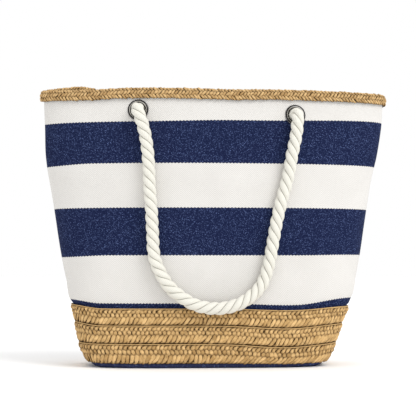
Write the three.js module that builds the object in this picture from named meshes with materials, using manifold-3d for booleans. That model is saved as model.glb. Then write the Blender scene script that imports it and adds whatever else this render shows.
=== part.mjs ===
// Canvas beach bag: two striped panels, a braided straw foot and rim, and two rope handles
// that hang from four eyelets. Millimetres, +Z up, +X to the right of someone facing the front,
// front towards -Y. The origin is on the floor, under the middle of the base.
import * as THREE from "three";
import { mergeVertices } from "three/addons/utils/BufferGeometryUtils.js";
import Module from "manifold-3d";

const wasm = await Module();
wasm.setup();

// ---- driving dimensions ----

// The outer face of the canvas at a few heights: an oval that is boxy at the foot (high
// squareness) and lens-shaped at the mouth. Heights between two stations run straight.
const STATIONS = [
  { height: 0, halfWidth: 152, halfDepth: 68, squareness: 3.4 },
  { height: 8, halfWidth: 158, halfDepth: 71, squareness: 3.3 },
  { height: 30, halfWidth: 175.5, halfDepth: 75, squareness: 3.1 },
  { height: 80, halfWidth: 191, halfDepth: 76.5, squareness: 2.9 },
  { height: 92, halfWidth: 196, halfDepth: 78.5, squareness: 2.8 },
  { height: 150, halfWidth: 209.2, halfDepth: 80, squareness: 2.55 },
  { height: 215, halfWidth: 218.7, halfDepth: 79, squareness: 2.3 },
  { height: 285, halfWidth: 229.4, halfDepth: 75, squareness: 2.1 },
  { height: 335, halfWidth: 234.4, halfDepth: 70, squareness: 2 },
  { height: 380, halfWidth: 238.2, halfDepth: 65, squareness: 1.9 },
];
const FACETS = 48; // facets around the bag, the same on every layer so that layers nest
const GAP = 0.3; // clearance between pieces that touch
const BRAID_GAP = 0.9; // clearance between a braid and the cloth it is sewn on

const CANVAS = 1.8; // thickness of the canvas
const LINING = 0.8; // thickness of the lining cloth
const LINING_FACE = -(CANVAS + GAP + LINING); // inner face of the lining, from the skin

const FOOT_HEIGHT = 6.4; // height of the bottom panel's turned-up edge
const FOOT_PLATE = 2.2; // thickness of the bottom panel
const BOARD = 3; // thickness of the stiffening board
const WALL_BOTTOM = 6.7; // where the canvas and its lining start
const WALL_TOP = 368; // where they end, inside the rim braid

const BRAID_EDGES = [6.9, 32.6, 57, 79.4]; // bottom, two seams and top of the braided foot
const BRAID_THICK = 5.2; // how far a braid row stands off the canvas at its middle
const BRAID_THIN = 4; // and at its two edges

const RIM_TOP = 377; // top of the rim braid, the bag's full height
const RIM_BOTTOM = 363;
const RIM_THICK = 4.2; // how far the folded rim braid stands off the canvas

const EYELET_NEAR = 105; // from the middle of the bag to the higher eyelet of each pair
const EYELET_FAR = 108.7; // and to the lower one
const EYELET_HIGH = 347.5; // one eyelet of each pair is set a little higher than the other
const EYELET_LOW = 342;
const EYELET_HOLE = 9.6; // radii of the eyelet: clear hole, barrel and flange
const EYELET_BARREL = 10.6;
const EYELET_FLANGE = 14;
const EYELET_SIDES = 20;

const ROPE = 8.7; // radius of the rope
const ROPE_SIDES = 10;
const ROPE_STEPS = 56;
const HINGE_OUT = 13; // how far off the canvas the rope turns down
const KNOT_RADIUS = 19;
const KNOT_DEPTH = 14; // half thickness of a knot, along the eyelet's axis

const SNAP_Z = 328; // height of the magnetic snap
const SNAP_RADIUS = 9;
const SNAP_THICK = 2.6;
const SNAP_PIN = 3; // radius of the snap's centre pin

const POCKET_TOP = 305;
const POCKET_BOTTOM = 190;
const POCKET_FACETS = 6; // width of the inside pocket, in facets of the back panel

// The front handle's centre line from its left eyelet to its right one, hanging down the
// front. The back handle is the same route turned half a turn about the bag's upright axis.
const HANDLE_ROUTE = [
  [-106.9, -73.9, 349],
  [-103.8, -75.6, 339.5],
  [-98, -77, 322],
  [-93.5, -78.8, 298],
  [-91, -80.5, 272],
  [-90, -82.5, 244],
  [-87.5, -84.8, 213],
  [-85.8, -86.3, 181],
  [-83.7, -87.3, 150],
  [-75.5, -88, 128],
  [-63.8, -89.5, 109.5],
  [-47, -91.8, 95],
  [-27, -93.5, 84.5],
  [0, -93.5, 80.4],
  [25, -93.5, 85],
  [44, -91.5, 95.5],
  [59.7, -88.8, 112.5],
  [68.7, -87.7, 137],
  [74.3, -87, 165],
  [79.7, -85.5, 194],
  [86.5, -83.5, 222],
  [96, -80.5, 256],
  [102.4, -78.3, 288],
  [108.2, -76.8, 315],
  [110, -75.9, 332],
  [110.7, -74, 343.4],
];

// ---- materials ----

const finish = (color, roughness, metalness = 0) => ({ color, roughness, metalness });
const STRIPED_CANVAS = finish(0xece9e4, 0.9);
const NAVY_CANVAS = finish(0x2b3350, 0.9);
const STRAW = finish(0xbc9866, 0.85);
const LINING_CLOTH = finish(0xe6dfd0, 0.95);
const FIBREBOARD = finish(0x9c8668, 0.9);
const NICKEL = finish(0x8f8c88, 0.3, 1);
const COTTON_ROPE = finish(0xebe8df, 0.95);

const bag = new THREE.Group();

function add(name, geometry, look, parent = bag) {
  const mesh = new THREE.Mesh(geometry, new THREE.MeshStandardMaterial(look));
  mesh.name = name;
  parent.add(mesh);
  return mesh;
}

// ---- the bag's oval skin ----

function ovalPoint(station, turn, offset) {
  const power = 2 / station.squareness;
  const along = (value) => Math.sign(value) * Math.abs(value) ** power;
  const x = (station.halfWidth + offset) * along(Math.cos(turn));
  const y = (station.halfDepth + offset) * along(Math.sin(turn));
  return new THREE.Vector2(x, y);
}

// The point on the skin at an angle and a height, moved out by offset (in, if negative).
function skinPoint(turn, height, offset) {
  const above = Math.max(1, STATIONS.findIndex((station) => station.height >= height));
  const [low, high] = [STATIONS[above - 1], STATIONS[above]];
  const share = (height - low.height) / (high.height - low.height);
  const flat = ovalPoint(low, turn, offset).lerp(ovalPoint(high, turn, offset), share);
  return new THREE.Vector3(flat.x, flat.y, height);
}

// The two end heights, with every station between them.
function rowHeights(bottom, top) {
  const between = STATIONS.map((station) => station.height);
  return [bottom, ...between.filter((height) => height > bottom && height < top), top];
}

function moveVertices(geometry, place) {
  const position = geometry.getAttribute("position");
  const vertex = new THREE.Vector3();
  for (let i = 0; i < position.count; i++) {
    const moved = place(vertex.fromBufferAttribute(position, i));
    position.setXYZ(i, moved.x, moved.y, moved.z);
  }
  geometry.computeVertexNormals();
  return geometry;
}

// The same box with its facets split along their other diagonals.
function mirrorFacets(box) {
  const index = box.scale(-1, 1, 1).getIndex();
  for (let i = 0; i < index.count; i += 3) {
    const second = index.getX(i + 1);
    index.setX(i + 1, index.getX(i + 2));
    index.setX(i + 2, second);
  }
  return box;
}

// A sheet of cloth on the skin, from one facet to another and between two heights. Every
// second layer is mirrored, so that the faces of two neighbours are split alike and nest.
function sheetOnSkin(firstFacet, facetCount, bottom, top, outerFace, thickness, mirrored) {
  const rows = rowHeights(bottom, top);
  const plain = new THREE.BoxGeometry(1, 1, 1, facetCount, rows.length - 1, 1);
  const box = mirrored ? mirrorFacets(plain) : plain;
  return moveVertices(box, (vertex) => {
    const turn = ((firstFacet + (vertex.x + 0.5) * facetCount) * 2 * Math.PI) / FACETS;
    const row = Math.round((vertex.y + 0.5) * (rows.length - 1));
    const offset = outerFace + (vertex.z - 0.5) * thickness;
    return skinPoint(turn, rows[row], offset);
  });
}

// A ring around the bag. The outline is a list of [offset from the skin, height], walked
// anticlockwise with the outside of the bag to the right.
function ringOnSkin(outline) {
  const spread = 1000; // radius the outline is spun at, before it is laid on the skin
  const closed = [...outline, outline[0]];
  const points = closed.map(([offset, height]) => new THREE.Vector2(spread + offset, height));
  return moveVertices(new THREE.LatheGeometry(points, FACETS), (vertex) => {
    const turn = Math.atan2(vertex.x, vertex.z);
    return skinPoint(turn, vertex.y, Math.hypot(vertex.x, vertex.z) - spread);
  });
}

// ---- joining and cutting ----

function solidOf(geometry) {
  const bare = geometry.clone();
  bare.deleteAttribute("normal");
  bare.deleteAttribute("uv");
  const merged = mergeVertices(bare, 1e-4);
  const vertProperties = merged.getAttribute("position").array;
  const triVerts = new Uint32Array(merged.index.array);
  return new wasm.Manifold(new wasm.Mesh({ numProp: 3, vertProperties, triVerts }));
}

function geometryOf(solid) {
  const mesh = solid.getMesh();
  const geometry = new THREE.BufferGeometry();
  geometry.setAttribute("position", new THREE.BufferAttribute(mesh.vertProperties, 3));
  geometry.setIndex(new THREE.BufferAttribute(mesh.triVerts, 1));
  geometry.computeVertexNormals();
  return geometry;
}

// ---- fittings that sit square on the wall ----

// The wall's point at an x and a height, on the front (side -1) or the back (side +1).
function wallPoint(x, height, side) {
  let [inner, outer] = [0, Math.PI / 2];
  for (let halving = 0; halving < 40; halving++) {
    const middle = (inner + outer) / 2;
    if (skinPoint(middle, height, 0).x > Math.abs(x)) inner = middle;
    else outer = middle;
  }
  const point = skinPoint(inner, height, 0);
  return new THREE.Vector3(x, side * point.y, height);
}

// Places a thing modelled around +Y so that +Y leaves the wall at right angles.
function standOnWall(thing, x, height, side) {
  const reach = 12; // half the span the wall's slope is taken over
  const point = wallPoint(x, height, side);
  const across = wallPoint(x + reach, height, side).sub(wallPoint(x - reach, height, side));
  const up = wallPoint(x, height + reach, side).sub(wallPoint(x, height - reach, side));
  const outwards = across.cross(up).normalize();
  if (outwards.y * side < 0) outwards.negate();
  thing.position.copy(point);
  thing.quaternion.setFromUnitVectors(new THREE.Vector3(0, 1, 0), outwards);
  thing.updateMatrixWorld(true);
  return thing;
}

const EYELETS = [
  { name: "front_left", x: -EYELET_NEAR, z: EYELET_HIGH, side: -1 },
  { name: "front_right", x: EYELET_FAR, z: EYELET_LOW, side: -1 },
  { name: "back_left", x: -EYELET_FAR, z: EYELET_LOW, side: 1 },
  { name: "back_right", x: EYELET_NEAR, z: EYELET_HIGH, side: 1 },
];

function withEyeletHoles(sheet, side) {
  const radius = EYELET_BARREL + GAP;
  const drill = new THREE.CylinderGeometry(radius, radius, 40, EYELET_SIDES);
  let solid = solidOf(sheet);
  for (const eyelet of EYELETS.filter((one) => one.side === side)) {
    const tool = standOnWall(new THREE.Mesh(drill), eyelet.x, eyelet.z, side);
    solid = solid.subtract(solidOf(drill.clone().applyMatrix4(tool.matrixWorld)));
  }
  return geometryOf(solid);
}

// ---- sub-parts ----

function addPanels() {
  const half = FACETS / 2;
  const panels = [
    { name: "front", firstFacet: half, side: -1 },
    { name: "back", firstFacet: 0, side: 1 },
  ];
  for (const { name, firstFacet, side } of panels) {
    const span = [firstFacet, half, WALL_BOTTOM, WALL_TOP];
    const canvas = sheetOnSkin(...span, 0, CANVAS, false);
    const lining = sheetOnSkin(...span, -CANVAS - GAP, LINING, true);
    add(`${name}_canvas_panel`, withEyeletHoles(trimSides(canvas), side), STRIPED_CANVAS);
    add(`${name}_lining_panel`, withEyeletHoles(trimSides(lining), side), LINING_CLOTH);
  }
}

// Draws a panel's two side edges back from y = 0, so that it meets the other panel with a gap.
function trimSides(geometry) {
  const near = GAP / 2;
  return moveVertices(geometry, (vertex) => {
    if (Math.abs(vertex.y) < 1e-6) vertex.y = near * Math.sign(meanY(geometry));
    return vertex;
  });
}

function meanY(geometry) {
  geometry.computeBoundingBox();
  return geometry.boundingBox.max.y + geometry.boundingBox.min.y;
}

// A flat plate with the oval outline of the skin at a height, drawn in by inset.
function ovalPlate(bottom, top, inset) {
  const outline = new THREE.Shape();
  for (let facet = 0; facet < FACETS; facet++) {
    const point = skinPoint((facet * 2 * Math.PI) / FACETS, bottom, -inset);
    if (facet === 0) outline.moveTo(point.x, point.y);
    else outline.lineTo(point.x, point.y);
  }
  const plate = new THREE.ExtrudeGeometry(outline, { depth: top - bottom, bevelEnabled: false });
  return plate.translate(0, 0, bottom);
}

function addBase() {
  const trayWall = ringOnSkin([
    [-CANVAS, FOOT_PLATE - 1],
    [0, FOOT_PLATE - 1],
    [0, FOOT_HEIGHT],
    [-CANVAS, FOOT_HEIGHT],
  ]);
  const tray = solidOf(ovalPlate(0, FOOT_PLATE, 0)).add(solidOf(trayWall));
  add("base_canvas", geometryOf(tray), NAVY_CANVAS);
  const inset = CANVAS + GAP + 0.4;
  const boardBottom = FOOT_PLATE + GAP;
  const boardTop = boardBottom + BOARD;
  add("base_board", ovalPlate(boardBottom, boardTop, inset), FIBREBOARD);
  const liningBottom = boardTop + GAP;
  add("base_lining", ovalPlate(liningBottom, liningBottom + LINING, inset + LINING), LINING_CLOTH);
}

function addStrawFoot() {
  const names = ["lower", "middle", "upper"];
  names.forEach((name, row) => {
    const bottom = BRAID_EDGES[row] + (row > 0 ? GAP : 0);
    const top = BRAID_EDGES[row + 1];
    const middle = (bottom + top) / 2;
    const outer = [
      [BRAID_THIN, bottom],
      [BRAID_THICK, middle],
      [BRAID_THIN, top],
    ];
    const inner = rowHeights(bottom, top).reverse().map((height) => [BRAID_GAP, height]);
    add(`straw_braid_${name}`, ringOnSkin([...outer, ...inner]), STRAW);
  });
}

function addRim() {
  const innerGap = LINING_FACE - BRAID_GAP;
  const innerFace = innerGap - RIM_THICK + 1;
  const underFold = WALL_TOP + GAP;
  const shoulder = RIM_TOP - 3; // where the fold starts to round over
  const rim = ringOnSkin([
    [BRAID_GAP, RIM_BOTTOM],
    [RIM_THICK, RIM_BOTTOM],
    [RIM_THICK, shoulder],
    [BRAID_GAP, RIM_TOP],
    [innerGap, RIM_TOP],
    [innerFace, shoulder],
    [innerFace, RIM_BOTTOM],
    [innerGap, RIM_BOTTOM],
    [innerGap, underFold],
    [BRAID_GAP, underFold],
  ]);
  add("rim_braid", rim, STRAW);
}

// A ring or disc turned around +Y. The outline is a list of [radius, height], anticlockwise;
// one that starts and ends on the axis gives a disc.
function turned(outline, sides) {
  const points = outline.map(([radius, height]) => new THREE.Vector2(radius, height));
  const onAxis = outline[0][0] === 0;
  return new THREE.LatheGeometry(onAxis ? points : [...points, points[0]], sides);
}

const clinch = LINING_FACE - 2.1; // the eyelet's rolled inner lip starts here, along its axis
const lipEnd = clinch - 1.1;

function addEyelets() {
  const eyelet = turned(
    [
      [EYELET_HOLE, lipEnd],
      [EYELET_FLANGE - 1.6, lipEnd],
      [EYELET_FLANGE - 1.6, clinch],
      [EYELET_BARREL, clinch],
      [EYELET_BARREL, 0.5],
      [EYELET_FLANGE, 0.5],
      [EYELET_FLANGE - 0.4, 2],
      [EYELET_FLANGE - 2, 3],
      [EYELET_HOLE, 2.2],
    ],
    EYELET_SIDES,
  );
  const washerTop = LINING_FACE - 0.6;
  const washer = turned(
    [
      [EYELET_BARREL + GAP, clinch + GAP],
      [EYELET_FLANGE, clinch + GAP],
      [EYELET_FLANGE, washerTop],
      [EYELET_BARREL + GAP, washerTop],
    ],
    EYELET_SIDES,
  );
  for (const { name, x, z, side } of EYELETS) {
    const fitting = standOnWall(new THREE.Group(), x, z, side);
    bag.add(fitting);
    add(`eyelet_${name}`, eyelet, NICKEL, fitting);
    add(`eyelet_washer_${name}`, washer, NICKEL, fitting);
  }
}

function addKnots() {
  const inside = lipEnd - GAP; // the rope's own end face, just inside the eyelet
  const outside = HINGE_OUT - ROPE - 4 * GAP;
  const stub = new THREE.CylinderGeometry(ROPE, ROPE, outside - inside, ROPE_SIDES);
  stub.translate(0, (outside + inside) / 2, 0);
  const knot = new THREE.SphereGeometry(1, 12, 8);
  knot.scale(KNOT_RADIUS, KNOT_DEPTH, KNOT_RADIUS);
  knot.translate(0, inside - 2 * GAP - KNOT_DEPTH, 0);
  for (const { name, x, z, side } of EYELETS) {
    const fitting = standOnWall(new THREE.Group(), x, z, side);
    bag.add(fitting);
    add(`rope_through_${name}`, stub, COTTON_ROPE, fitting);
    add(`rope_knot_${name}`, knot, COTTON_ROPE, fitting);
  }
}

// The hanging part of a handle: a tube along the route with a round end on each hinge point.
function ropeLoop() {
  const route = new THREE.CatmullRomCurve3(HANDLE_ROUTE.map((at) => new THREE.Vector3(...at)));
  const section = new THREE.Shape();
  section.absarc(0, 0, ROPE, 0, 2 * Math.PI, false);
  const tube = new THREE.ExtrudeGeometry(section, {
    steps: ROPE_STEPS,
    curveSegments: ROPE_SIDES / 2,
    extrudePath: route,
    bevelEnabled: false,
  });
  let loop = solidOf(tube);
  for (const end of [route.getPoint(0), route.getPoint(1)]) {
    const round = new THREE.SphereGeometry(ROPE, ROPE_SIDES, 6);
    loop = loop.add(solidOf(round.translate(end.x, end.y, end.z)));
  }
  return geometryOf(loop);
}

function addHandles() {
  const loop = ropeLoop();
  add("rope_handle_front", loop, COTTON_ROPE);
  add("rope_handle_back", loop, COTTON_ROPE).rotation.z = Math.PI;
}

function addSnap() {
  const face = LINING_FACE - GAP;
  const back = face - SNAP_THICK;
  const disc = (pinEnd) =>
    turned(
      [
        [0, pinEnd],
        [SNAP_PIN, pinEnd],
        [SNAP_PIN, back],
        [SNAP_RADIUS, back],
        [SNAP_RADIUS, face],
        [0, face],
      ],
      EYELET_SIDES,
    );
  const halves = [
    { name: "snap_socket", geometry: disc(back + 1.4), side: -1 },
    { name: "snap_stud", geometry: disc(back - 1.2), side: 1 },
  ];
  for (const { name, geometry, side } of halves) {
    const fitting = standOnWall(new THREE.Group(), 0, SNAP_Z, side);
    bag.add(fitting);
    add(name, geometry, NICKEL, fitting);
  }
}

function addPocket() {
  const firstFacet = FACETS / 4 - POCKET_FACETS / 2;
  const outerFace = LINING_FACE - GAP;
  const pocket = sheetOnSkin(
    firstFacet,
    POCKET_FACETS,
    POCKET_BOTTOM,
    POCKET_TOP,
    outerFace,
    LINING,
    false,
  );
  add("inside_pocket", pocket, LINING_CLOTH);
}

addPanels();
addBase();
addStrawFoot();
addRim();
addEyelets();
addKnots();
addHandles();
addSnap();
addPocket();

export default bag;
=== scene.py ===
"""Canvas beach bag: striped twill panels on a foot of plaited straw, a plaited rim and two rope handles.

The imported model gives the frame, the sizes and the joints. Each class below builds one sub-assembly of the
bag around it, in metres, with +Z up and the bag's front towards -Y, and dresses it in a procedural finish.
"""

import logging
import math
import random
from dataclasses import dataclass, field
from enum import Enum
from typing import Callable, Optional, Sequence

import bmesh
import bpy
from mathutils import Matrix, Vector, noise
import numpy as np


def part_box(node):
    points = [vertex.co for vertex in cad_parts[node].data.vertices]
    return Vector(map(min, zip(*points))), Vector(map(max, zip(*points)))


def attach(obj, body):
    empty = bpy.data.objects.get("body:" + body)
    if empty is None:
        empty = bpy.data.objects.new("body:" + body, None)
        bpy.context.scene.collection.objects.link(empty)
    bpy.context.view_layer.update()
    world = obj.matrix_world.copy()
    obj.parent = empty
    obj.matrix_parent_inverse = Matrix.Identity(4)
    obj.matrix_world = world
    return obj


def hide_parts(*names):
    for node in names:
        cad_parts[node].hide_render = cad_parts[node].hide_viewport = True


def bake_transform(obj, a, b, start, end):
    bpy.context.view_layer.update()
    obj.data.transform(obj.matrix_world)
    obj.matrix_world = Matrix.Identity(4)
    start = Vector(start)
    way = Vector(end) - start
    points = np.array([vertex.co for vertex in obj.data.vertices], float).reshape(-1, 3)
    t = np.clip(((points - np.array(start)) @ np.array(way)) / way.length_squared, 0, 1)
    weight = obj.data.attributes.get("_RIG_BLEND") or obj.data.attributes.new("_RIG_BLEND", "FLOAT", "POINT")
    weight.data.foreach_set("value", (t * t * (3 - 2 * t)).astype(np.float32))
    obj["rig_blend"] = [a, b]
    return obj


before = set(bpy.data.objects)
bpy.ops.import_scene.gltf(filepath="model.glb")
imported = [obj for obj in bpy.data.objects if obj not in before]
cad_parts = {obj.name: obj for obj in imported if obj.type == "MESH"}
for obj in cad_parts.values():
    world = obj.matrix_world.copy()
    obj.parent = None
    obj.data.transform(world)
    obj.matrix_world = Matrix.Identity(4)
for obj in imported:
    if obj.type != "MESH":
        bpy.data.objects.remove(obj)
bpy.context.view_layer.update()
LOG = logging.getLogger("beach_bag")

MM = 0.001
TURN = 2 * math.pi
WELD = 1e-6
NOISE_SEED = 5
ROPE_RADIUS = 0.0087
BAG = "bag"
Colour = tuple[float, float, float]


class Side(Enum):
    """The two faces of the bag, by the sign of their Y."""

    FRONT = -1
    BACK = 1

    @property
    def word(self) -> str:
        """The side's name as used in piece names."""
        return self.name.lower()


# ---------------------------------------------------------------------------------------------
# Small helpers
# ---------------------------------------------------------------------------------------------


def smooth(value: float, low: float, high: float) -> float:
    """Smoothstep.

    Args:
        value: the number to place between the two ends.
        low: where the result leaves 0.
        high: where the result reaches 1.

    Returns:
        A number from 0 to 1.
    """
    share = min(1.0, max(0.0, (value - low) / (high - low)))
    return share * share * (3 - 2 * share)


def mix(low: float, high: float, share: float) -> float:
    """The number that lies share of the way from low to high."""
    return low + (high - low) * share


def hump(value: float, middle: float, reach: float) -> float:
    """A smooth bump, 1 at its middle, that has all but gone at twice its reach."""
    return math.exp(-(((value - middle) / reach) ** 2))


def rgb(red: int, green: int, blue: int) -> Colour:
    """Turns an 0 to 255 display colour into the linear numbers that shaders take."""

    def linear(channel: int) -> float:
        """One channel on the linear scale."""
        value = channel / 255
        return value / 12.92 if value <= 0.04045 else ((value + 0.055) / 1.055) ** 2.4

    return (linear(red), linear(green), linear(blue))


def finish_mesh(name: str, bm: bmesh.types.BMesh, recalculate: bool = True) -> bpy.types.Object:
    """Turns a bmesh into a smooth-shaded object at the origin.

    Args:
        name: the piece's name.
        bm: the shape, which is freed.
        recalculate: whether the faces are turned outwards first.

    Returns:
        The new object, linked to the scene.
    """
    if recalculate:
        bmesh.ops.recalc_face_normals(bm, faces=bm.faces)
    mesh = bpy.data.meshes.new(name)
    bm.to_mesh(mesh)
    bm.free()
    mesh.shade_smooth()
    piece = bpy.data.objects.new(name, mesh)
    bpy.context.scene.collection.objects.link(piece)
    return piece


def dress(piece: bpy.types.Object, material: bpy.types.Material) -> None:
    """Gives a piece its material."""
    piece.data.materials.clear()
    piece.data.materials.append(material)


def settle(
    piece: bpy.types.Object,
    material: bpy.types.Material,
    replaces: Sequence[str] = (),
    body: str = BAG,
) -> bpy.types.Object:
    """Dresses a piece, lets it ride on a body and stand in for CAD nodes, and logs it.

    Args:
        piece: the finished object.
        material: its material.
        replaces: the CAD nodes it stands for.
        body: the body it rides on.

    Returns:
        The same piece.
    """
    dress(piece, material)
    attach(piece, body)
    if replaces:
        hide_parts(*replaces)
    LOG.info("%s: %d faces", piece.name, len(piece.data.polygons))
    return piece


# ---------------------------------------------------------------------------------------------
# The bag's oval skin
# ---------------------------------------------------------------------------------------------


@dataclass(frozen=True)
class Station:
    """The oval section of the bag at one height: sizes in metres, and how square its corners are."""

    height: float
    half_width: float
    half_depth: float
    squareness: float


@dataclass
class Skin:
    """The canvas's outer face, as a smooth surface through the stations, and how the soft bag hangs off it.

    A place on it is a share of the way round, a height and an offset outwards. The share is 0 at the left side
    seam, 0.25 at the middle of the front, 0.5 at the right side seam and 0.75 at the middle of the back.
    """

    stations: tuple[Station, ...] = (
        Station(0.000, 0.1544, 0.0680, 3.8),
        Station(0.008, 0.1612, 0.0710, 3.8),
        Station(0.030, 0.1740, 0.0750, 3.6),
        Station(0.080, 0.1898, 0.0765, 3.3),
        Station(0.092, 0.1962, 0.0785, 3.2),
        Station(0.150, 0.2074, 0.0800, 2.75),
        Station(0.215, 0.2187, 0.0790, 2.3),
        Station(0.285, 0.2302, 0.0750, 2.1),
        Station(0.335, 0.2346, 0.0700, 2.0),
        Station(0.380, 0.2368, 0.0650, 1.9),
    )
    row_step: float = 0.002
    samples: int = 384
    rows: list[list[Vector]] = field(default_factory=list)
    girths: list[float] = field(default_factory=list)

    def __post_init__(self) -> None:
        """Works out the oval and its girth at every row."""
        count = round(self.stations[-1].height / self.row_step) + 1
        for index in range(count):
            outline, girth = self._outline(index * self.row_step)
            self.rows.append(outline)
            self.girths.append(girth)

    def _outline(self, height: float) -> tuple[list[Vector], float]:
        """The oval at a height as points evenly spaced round it.

        Args:
            height: metres above the floor.

        Returns:
            The points, from the left seam round by the front, and the oval's girth.
        """
        wide = self._eased(height, "half_width")
        deep = self._eased(height, "half_depth")
        power = 2 / self._eased(height, "squareness")
        fine = 4 * self.samples
        dense = []
        for step in range(fine + 1):
            turn = math.pi + TURN * step / fine
            across, along = math.cos(turn), math.sin(turn)
            x = math.copysign(abs(across) ** power, across) * wide
            y = math.copysign(abs(along) ** power, along) * deep
            dense.append(Vector((x, y)))
        lengths = [0.0]
        for one, two in zip(dense, dense[1:]):
            lengths.append(lengths[-1] + (two - one).length)
        girth = lengths[-1]
        points = []
        cursor = 0
        for sample in range(self.samples):
            target = girth * sample / self.samples
            while lengths[cursor + 1] < target:
                cursor += 1
            local = (target - lengths[cursor]) / max(lengths[cursor + 1] - lengths[cursor], 1e-12)
            points.append(dense[cursor].lerp(dense[cursor + 1], local))
        return points, girth

    def _eased(self, height: float, size: str) -> float:
        """One of the stations' sizes at a height, on a smooth curve through them.

        Args:
            height: metres above the floor.
            size: the name of the station's field.

        Returns:
            The size at that height.
        """
        known = self.stations
        low = max(i for i, one in enumerate(known) if one.height <= height + 1e-9 or i == 0)
        low = min(low, len(known) - 2)

        def slope(index: int) -> float:
            """How fast the size changes at a station."""
            before, after = known[max(index - 1, 0)], known[min(index + 1, len(known) - 1)]
            return (getattr(after, size) - getattr(before, size)) / (after.height - before.height)

        one, two = known[low], known[low + 1]
        span = two.height - one.height
        t = (height - one.height) / span
        return (
            (2 * t**3 - 3 * t**2 + 1) * getattr(one, size)
            + (t**3 - 2 * t**2 + t) * span * slope(low)
            + (3 * t**2 - 2 * t**3) * getattr(two, size)
            + (t**3 - t**2) * span * slope(low + 1)
        )

    def _flat(self, share: float, height: float) -> Vector:
        """The point on the oval, in plan, by straight reading between rows and samples.

        Args:
            share: how far round, from 0 to 1.
            height: metres above the floor.

        Returns:
            The point's X and Y.
        """
        level = min(max(height / self.row_step, 0.0), len(self.rows) - 1.001)
        row = int(level)
        place = (share % 1.0) * self.samples
        sample = int(place)
        lower, upper = self.rows[row], self.rows[row + 1]
        following = (sample + 1) % self.samples
        bottom = lower[sample % self.samples].lerp(lower[following], place - sample)
        top = upper[sample % self.samples].lerp(upper[following], place - sample)
        return bottom.lerp(top, level - row)

    def girth(self, height: float) -> float:
        """The distance round the oval at a height, in metres."""
        return self.girths[min(len(self.girths) - 1, max(0, round(height / self.row_step)))]

    def at(self, share: float, height: float, offset: float = 0.0) -> Vector:
        """A place on the hanging bag.

        Args:
            share: how far round, from 0 to 1.
            height: height along the wall, before the bag droops.
            offset: how far out from the canvas's outer face.

        Returns:
            The point in the bag's frame.
        """
        step = 0.75 / self.samples
        here = self._flat(share, height)
        along = self._flat(share + step, height) - self._flat(share - step, height)
        outwards = Vector((along.y, -along.x)).normalized()
        give = self._give(here, height)
        flat = here + outwards * (offset + give)
        return self._hang(Vector((flat.x, flat.y, height)))

    @staticmethod
    def _give(here: Vector, height: float) -> float:
        """How far the soft wall stands out or in of the tidy oval: long, low waves that fade at the fittings.

        Args:
            here: the place on the oval, in plan.
            height: metres above the floor.

        Returns:
            The distance outwards, in metres.
        """
        place = Vector((here.x * 7.0, here.y * 7.0, height * 8.0))
        wave = noise.noise(place) + 0.45 * noise.noise(place * 2.3 + Vector((3.1, 1.7, 5.2)))
        free = smooth(height, 0.085, 0.14) * (1 - smooth(height, 0.27, 0.32))
        ends = 1 - 0.4 * smooth(abs(here.x), 0.15, 0.2)
        return 0.0016 * wave * free * ends

    def _hang(self, point: Vector) -> Vector:
        """Lets the soft bag sit a little uneven."""
        x, y, z = point
        return Vector((x + self._lean(x, z), y, z + self._rise(x, y, z)))

    @staticmethod
    def _rise(x: float, y: float, z: float) -> float:
        """How far a place of the hanging bag lies above its tidy height.

        The rim dips a little, the stripes and the foot bow up towards their ends, the front of the foot sags
        right of the middle, and the back rim stands up behind the left end.

        Args:
            x: metres to the right.
            y: metres towards the back.
            z: metres above the floor.

        Returns:
            The rise in metres, less than 0 where the bag droops.
        """
        low = 1 - smooth(z, 0.085, 0.15)
        rim = smooth(z, 0.335, 0.362)
        front = 1 - smooth(y, -0.02, 0.02)
        rise = -0.0012 * smooth(x, -0.10, 0.0) * rim
        rise -= 0.0010 * hump(x, 0.02, 0.04) * rim
        rise -= 0.0020 * hump(x, -0.178, 0.036) * rim * front
        top_stripe = smooth(z, 0.285, 0.325) * (1 - smooth(z, 0.335, 0.36))
        rise += 0.0054 * smooth(x, 0.02, 0.225) * top_stripe
        rise += 0.0018 * hump(x, 0.02, 0.075) * top_stripe
        rise -= 0.0022 * smooth(-x, 0.165, 0.225) * smooth(z, 0.24, 0.27) * (1 - smooth(z, 0.29, 0.33))
        rise += 0.0050 * smooth(-x, 0.150, 0.195) * smooth(z, 0.02, 0.06) * low
        rise += 0.0058 * smooth(x, 0.110, 0.185) * smooth(z, 0.078, 0.088) * (1 - smooth(z, 0.10, 0.17))
        dip = front * hump(x, 0.098, 0.057) * smooth(z, 0.0, 0.022) * (1 - smooth(z, 0.088, 0.11))
        rise -= dip * mix(0.0050, 0.0026, smooth(z, 0.045, 0.08))
        rise += 0.0015 * smooth(x, 0.100, 0.185) * smooth(z, 0.02, 0.06) * low
        rise -= 0.0024 * smooth(-x, 0.140, 0.21) * smooth(z, 0.11, 0.15) * (1 - smooth(z, 0.17, 0.22))
        rise += 0.0132 * (1 - front) * smooth(z, 0.31, 0.365) * hump(x, -0.184, 0.050)
        return rise

    @staticmethod
    def _lean(x: float, z: float) -> float:
        """How far a place of the hanging bag lies right of its tidy place.

        The foot leans to the left, the left side bulges, the right one draws in, and the rim's right end
        leans out.

        Args:
            x: metres to the right.
            z: metres above the floor.

        Returns:
            The shift in metres, less than 0 to the left.
        """
        left = smooth(-x, 0.1, 0.19)
        right = smooth(x, 0.1, 0.19)
        lean = -0.0095 * (1 - smooth(z, -0.03, 0.12))
        lean -= 0.0040 * smooth(x, 0.12, 0.19) * smooth(z, 0.0, 0.045) * (1 - smooth(z, 0.0795, 0.083))
        bulge = 0.0028 - 0.0012 * smooth(z, 0.09, 0.125)
        lean -= left * smooth(z, 0.078, 0.085) * (1 - smooth(z, 0.29, 0.34)) * bulge
        lean -= 0.0018 * right * smooth(z, 0.095, 0.12) * (1 - smooth(z, 0.25, 0.29))
        lean += 0.0056 * smooth(x, 0.12, 0.22) * smooth(z, 0.27, 0.335)
        return lean


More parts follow.
